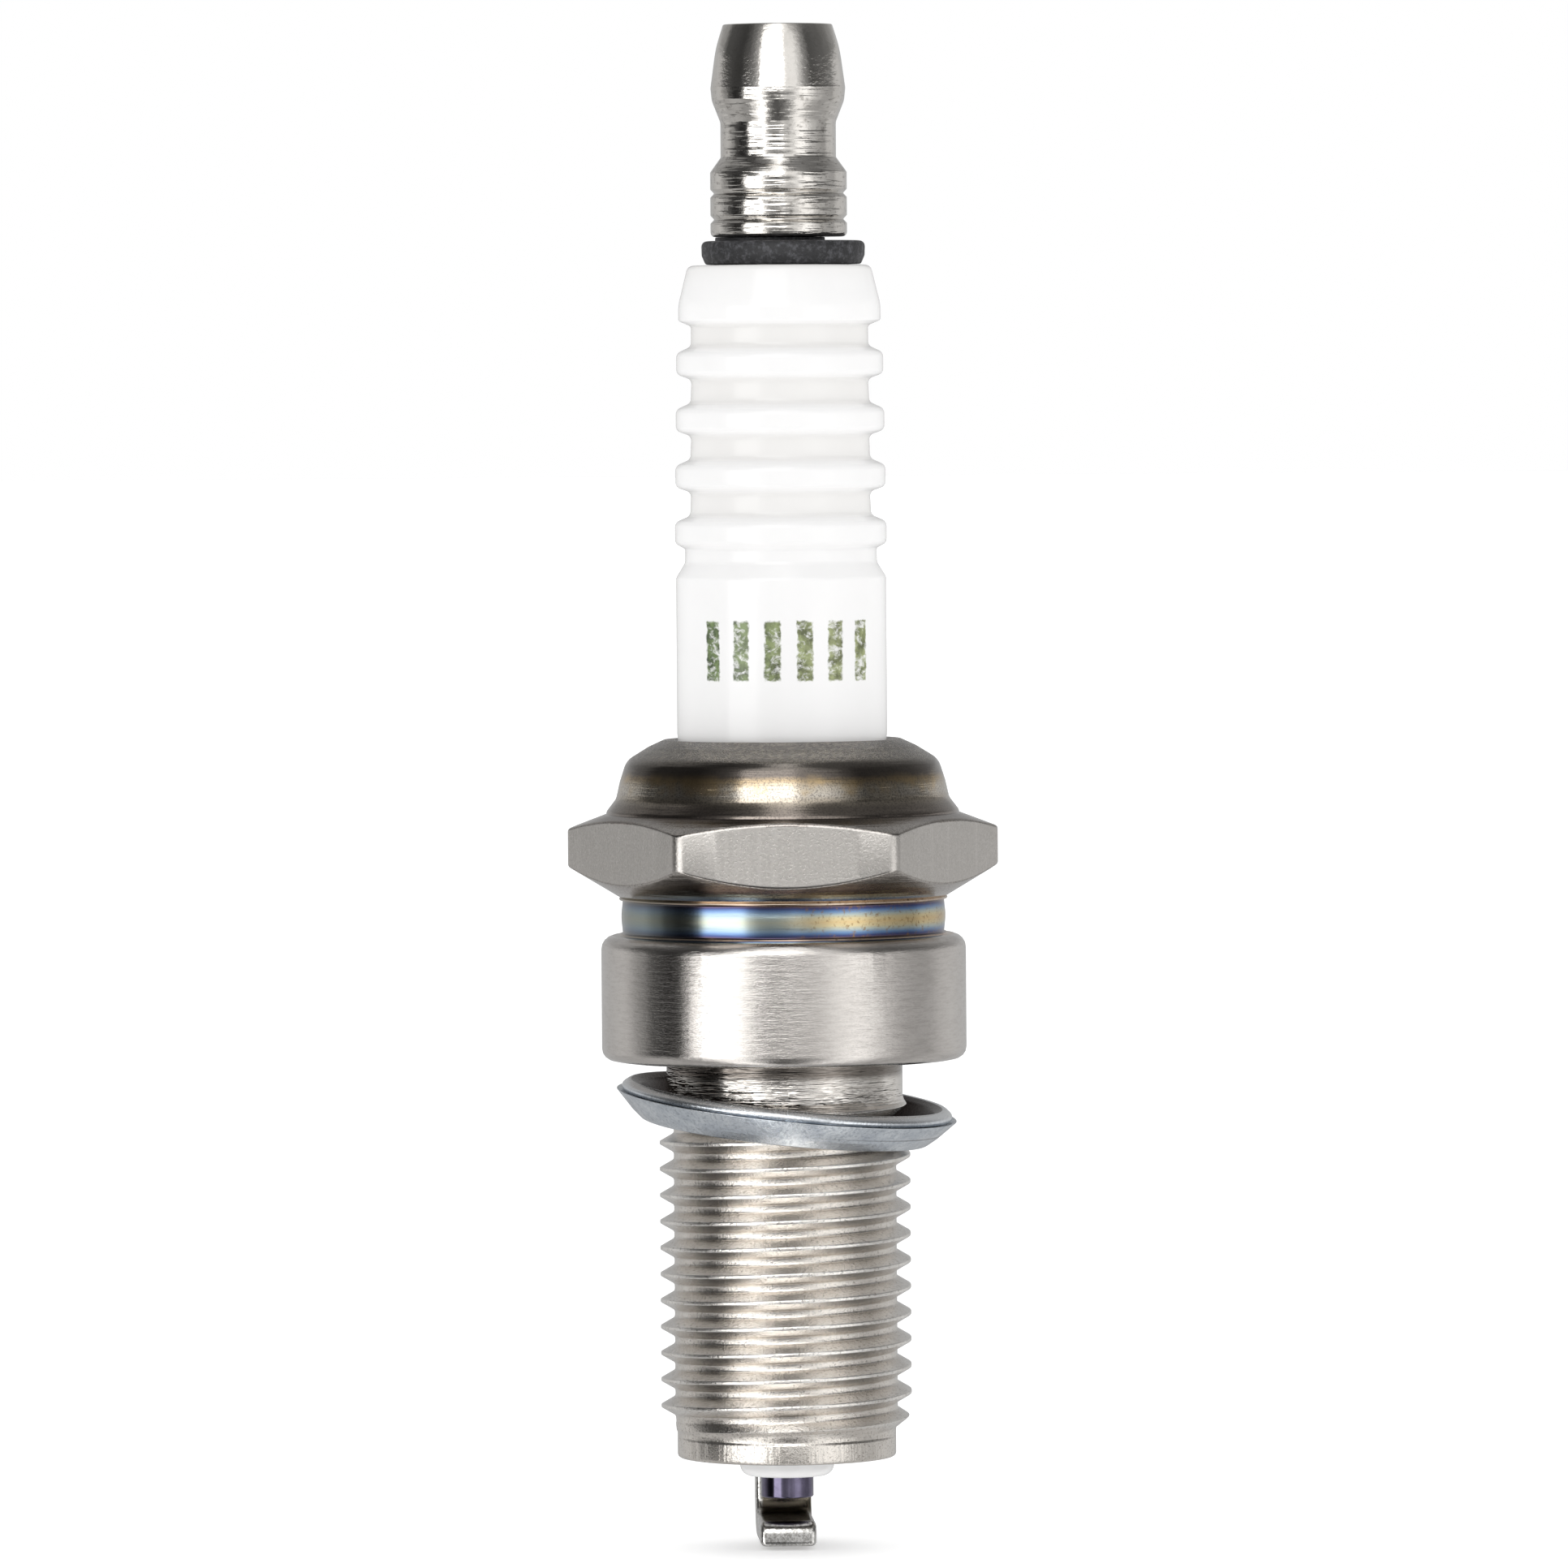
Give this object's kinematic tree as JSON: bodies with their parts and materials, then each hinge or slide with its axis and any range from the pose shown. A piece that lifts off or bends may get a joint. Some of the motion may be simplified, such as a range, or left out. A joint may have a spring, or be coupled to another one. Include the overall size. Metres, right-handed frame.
{
  "type": "spark plug",
  "caption": "Spark plug with a ribbed ceramic insulator, screw-on terminal nut, hexagon shell, loose crush gasket and bent earth strap.",
  "frame": {"origin": "centre of the steel shell's gasket seat, on the plug's axis", "axes": "+Z along the plug's axis towards the terminal nut, -Z towards the firing end, -Y out of the hexagon flat that faces the viewer (turned 1.1 degrees), +Y towards the side of the firing end where the earth strap stands"},
  "size_m": [0.0204, 0.018, 0.0721],
  "materials": {
    "nickel_plate": "bright nickel plate, turned",
    "plated_nut": "bright nickel plate",
    "glazed_ceramic": "white gloss glaze",
    "black_rubber": "matt, worn",
    "stud_steel": "zinc plate",
    "seal_glass": "dark copper and glass powder, fused",
    "nickel_alloy": "oxidised nickel alloy",
    "copper": "bare copper",
    "packing_steel": "plain steel",
    "talc": "pressed powder",
    "strap_alloy": "bare nickel alloy",
    "zinc_plate": "satin zinc plate"
  },
  "bodies": {
    "plug": {"shell": "nickel_plate", "insulator": "glazed_ceramic", "terminal_stud": "stud_steel", "glass_seal": "seal_glass", "centre_electrode": "nickel_alloy", "electrode_core": "copper", "upper_packing_ring": "packing_steel", "talc_ring": "talc", "lower_packing_ring": "packing_steel", "seat_washer": "packing_steel", "ground_electrode": "strap_alloy"},
    "ring": {"terminal_ring": "black_rubber"},
    "nut": {"terminal_nut": "plated_nut"},
    "washer": {"gasket": "zinc_plate"}
  },
  "joints": [
    {"name": "nut_turn", "type": "hinge", "parent": "plug", "child": "ring", "pos_m": [0, 0, 0.038], "axis": [0, 0, 1], "range_deg": [0, 2160]},
    {"name": "nut_travel", "type": "slide", "parent": "ring", "child": "nut", "axis": [0, 0, 1], "range_m": [0, 0.00419]},
    {"name": "gasket_tilt", "type": "hinge", "parent": "plug", "child": "washer", "pos_m": [0.0001, 0, -0.00216], "axis": [0.3795, 0.9252, 0], "range_deg": [-14, 5.5]}
  ],
  "couplings": [
    {"joint": "nut_turn", "follows": "nut_travel", "rad_per_m": 8976}
  ]
}
